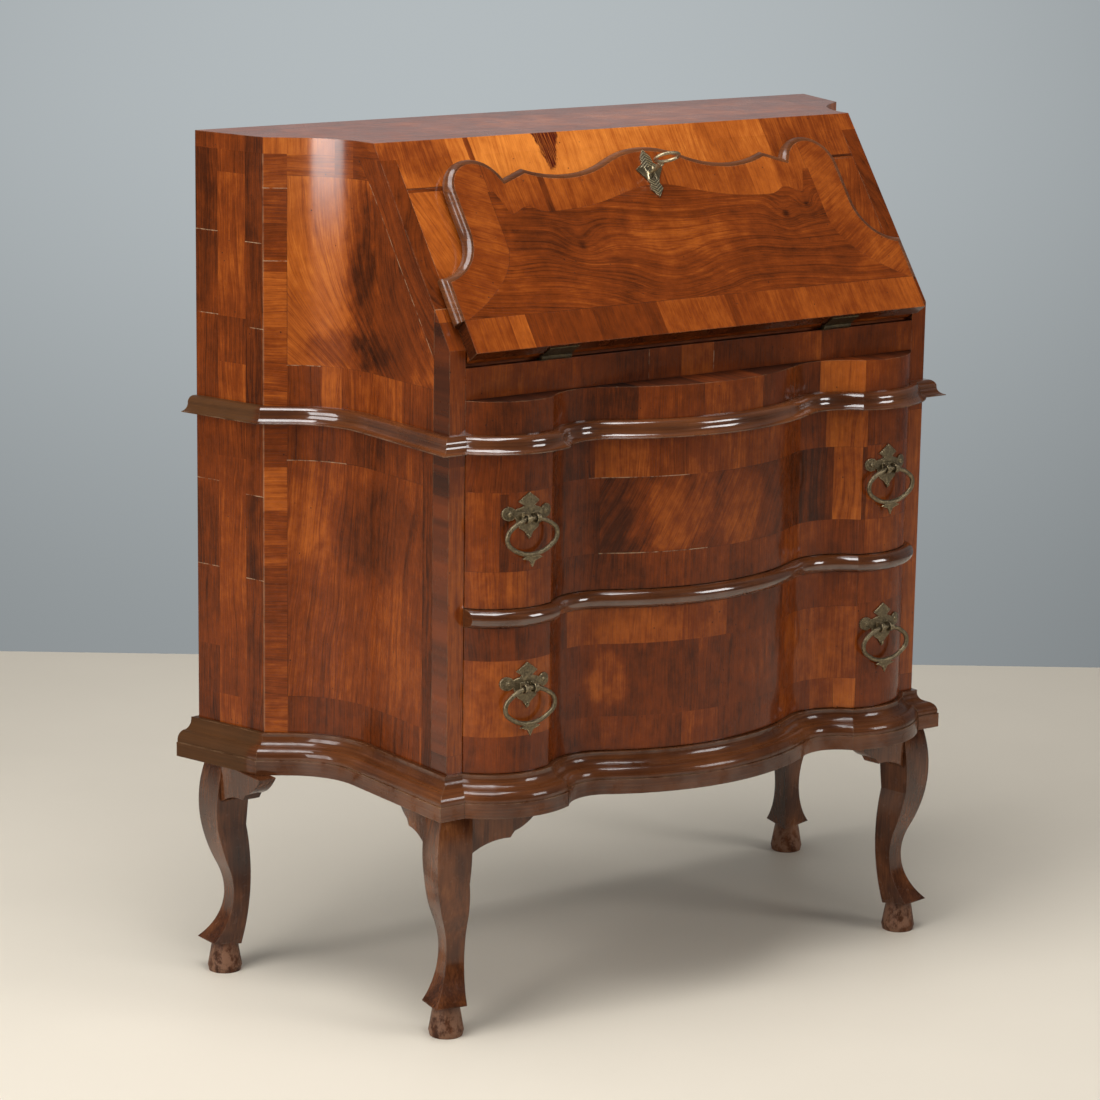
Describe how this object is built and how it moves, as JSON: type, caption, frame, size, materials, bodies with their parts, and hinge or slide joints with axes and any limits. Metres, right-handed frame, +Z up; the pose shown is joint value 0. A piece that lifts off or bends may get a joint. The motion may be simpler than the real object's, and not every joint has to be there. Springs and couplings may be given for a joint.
{
  "type": "fall-front cabinet",
  "caption": "Walnut writing cabinet with a serpentine front, a slanted fall that opens on slotted stays as a desk, long drawers with drop pulls, and cabriole legs.",
  "frame": {"origin": "on the floor under the middle of the overall box", "axes": "+Z up, +Y to the back of the cabinet, +X to the right as seen from the front"},
  "size_m": [0.9366, 0.437, 0.98],
  "materials": {
    "walnut_veneer": "polished figured veneer",
    "walnut_solid": "polished solid walnut",
    "oak": "plain unpolished wood",
    "brass": "dull aged brass",
    "iron": "dark worn iron"
  },
  "bodies": {
    "carcase": {"back_panel": "oak", "base_frame": "oak", "base_moulding": "walnut_solid", "case_bottom": "oak", "corner_post_left": "walnut_veneer", "corner_post_right": "walnut_veneer", "divider_moulding": "walnut_solid", "divider_rail": "walnut_veneer", "drawer_runners": "oak", "fall_rail": "walnut_veneer", "frieze": "walnut_veneer", "gallery_boards": "walnut_veneer", "hinge_rail_leaves": "brass", "interior_cheeks": "walnut_veneer", "knee_brackets": "walnut_solid", "leg_back_left": "walnut_solid", "leg_back_right": "walnut_solid", "leg_front_left": "walnut_solid", "leg_front_right": "walnut_solid", "side_left": "walnut_veneer", "side_right": "walnut_veneer", "slant_header": "walnut_veneer", "slant_stiles": "walnut_veneer", "stay_studs": "brass", "top_board": "walnut_veneer", "waist_moulding": "walnut_solid", "waist_rail": "walnut_veneer", "writing_bed": "walnut_veneer"},
    "upper_drawer": {"upper_drawer_front": "walnut_veneer", "upper_drawer_side_left": "oak", "upper_drawer_side_right": "oak", "upper_drawer_back": "oak", "upper_drawer_bottom": "oak", "upper_pull_plate_left": "brass", "upper_pull_plate_right": "brass"},
    "lower_drawer": {"lower_drawer_front": "walnut_veneer", "lower_drawer_side_left": "oak", "lower_drawer_side_right": "oak", "lower_drawer_back": "oak", "lower_drawer_bottom": "oak", "lower_pull_plate_left": "brass", "lower_pull_plate_right": "brass"},
    "fall": {"fall_board": "walnut_veneer", "fall_panel": "walnut_veneer", "fall_bead": "walnut_solid", "hinge_fall_leaves": "brass", "escutcheon": "brass", "lock_case": "brass", "stay_brackets": "brass"},
    "key_body": {"key": "iron"},
    "bolt_body": {"lock_bolt": "brass"},
    "stay_left": {"stay_arm_left": "brass"},
    "inner_left": {"inner_drawer_left": "walnut_veneer"},
    "upper_ring_left": {"upper_pull_ring_left": "brass"},
    "lower_ring_left": {"lower_pull_ring_left": "brass"},
    "stay_right": {"stay_arm_right": "brass"},
    "inner_right": {"inner_drawer_right": "walnut_veneer"},
    "upper_ring_right": {"upper_pull_ring_right": "brass"},
    "lower_ring_right": {"lower_pull_ring_right": "brass"}
  },
  "joints": [
    {"name": "fall_hinge", "type": "hinge", "parent": "carcase", "child": "fall", "pos_m": [0, -0.1465, 0.7555], "axis": [1, 0, 0], "range_deg": [0, 125.92]},
    {"name": "upper_drawer_slide", "type": "slide", "parent": "carcase", "child": "upper_drawer", "axis": [0, -1, 0], "range_m": [0, 0.25]},
    {"name": "upper_ring_left_hinge", "type": "hinge", "parent": "upper_drawer", "child": "upper_ring_left", "pos_m": [-0.257, -0.1865, 0.58855], "axis": [-1, 0, 0], "range_deg": [0, 80]},
    {"name": "upper_ring_right_hinge", "type": "hinge", "parent": "upper_drawer", "child": "upper_ring_right", "pos_m": [0.257, -0.1865, 0.58855], "axis": [-1, 0, 0], "range_deg": [0, 80]},
    {"name": "lower_drawer_slide", "type": "slide", "parent": "carcase", "child": "lower_drawer", "axis": [0, -1, 0], "range_m": [0, 0.25]},
    {"name": "lower_ring_left_hinge", "type": "hinge", "parent": "lower_drawer", "child": "lower_ring_left", "pos_m": [-0.257, -0.1865, 0.39844], "axis": [-1, 0, 0], "range_deg": [0, 80]},
    {"name": "lower_ring_right_hinge", "type": "hinge", "parent": "lower_drawer", "child": "lower_ring_right", "pos_m": [0.257, -0.1865, 0.39844], "axis": [-1, 0, 0], "range_deg": [0, 80]},
    {"name": "key_turn", "type": "hinge", "parent": "fall", "child": "key_body", "pos_m": [0, -0.04912, 0.93289], "axis": [0, -0.8097, 0.5868], "range_deg": [0, 90]},
    {"name": "bolt_slide", "type": "slide", "parent": "fall", "child": "bolt_body", "axis": [0, 0.5868, 0.8097], "range_m": [0, 0.008]},
    {"name": "stay_left_hinge", "type": "hinge", "parent": "fall", "child": "stay_left", "pos_m": [-0.261, -0.0662, 0.84468], "axis": [1, 0, 0], "range_deg": [-63, 0]},
    {"name": "inner_drawer_left_slide", "type": "slide", "parent": "carcase", "child": "inner_left", "axis": [0, -1, 0], "range_m": [0, 0.1]},
    {"name": "stay_right_hinge", "type": "hinge", "parent": "fall", "child": "stay_right", "pos_m": [0.261, -0.0662, 0.84468], "axis": [1, 0, 0], "range_deg": [-63, 0]},
    {"name": "inner_drawer_right_slide", "type": "slide", "parent": "carcase", "child": "inner_right", "axis": [0, -1, 0], "range_m": [0, 0.1]}
  ],
  "couplings": [
    {"joint": "bolt_slide", "follows": "key_turn", "m_per_rad": 0.00509},
    {"joint": "stay_left_hinge", "follows": "fall_hinge", "ratio": -0.5},
    {"joint": "stay_right_hinge", "follows": "fall_hinge", "ratio": -0.5}
  ]
}
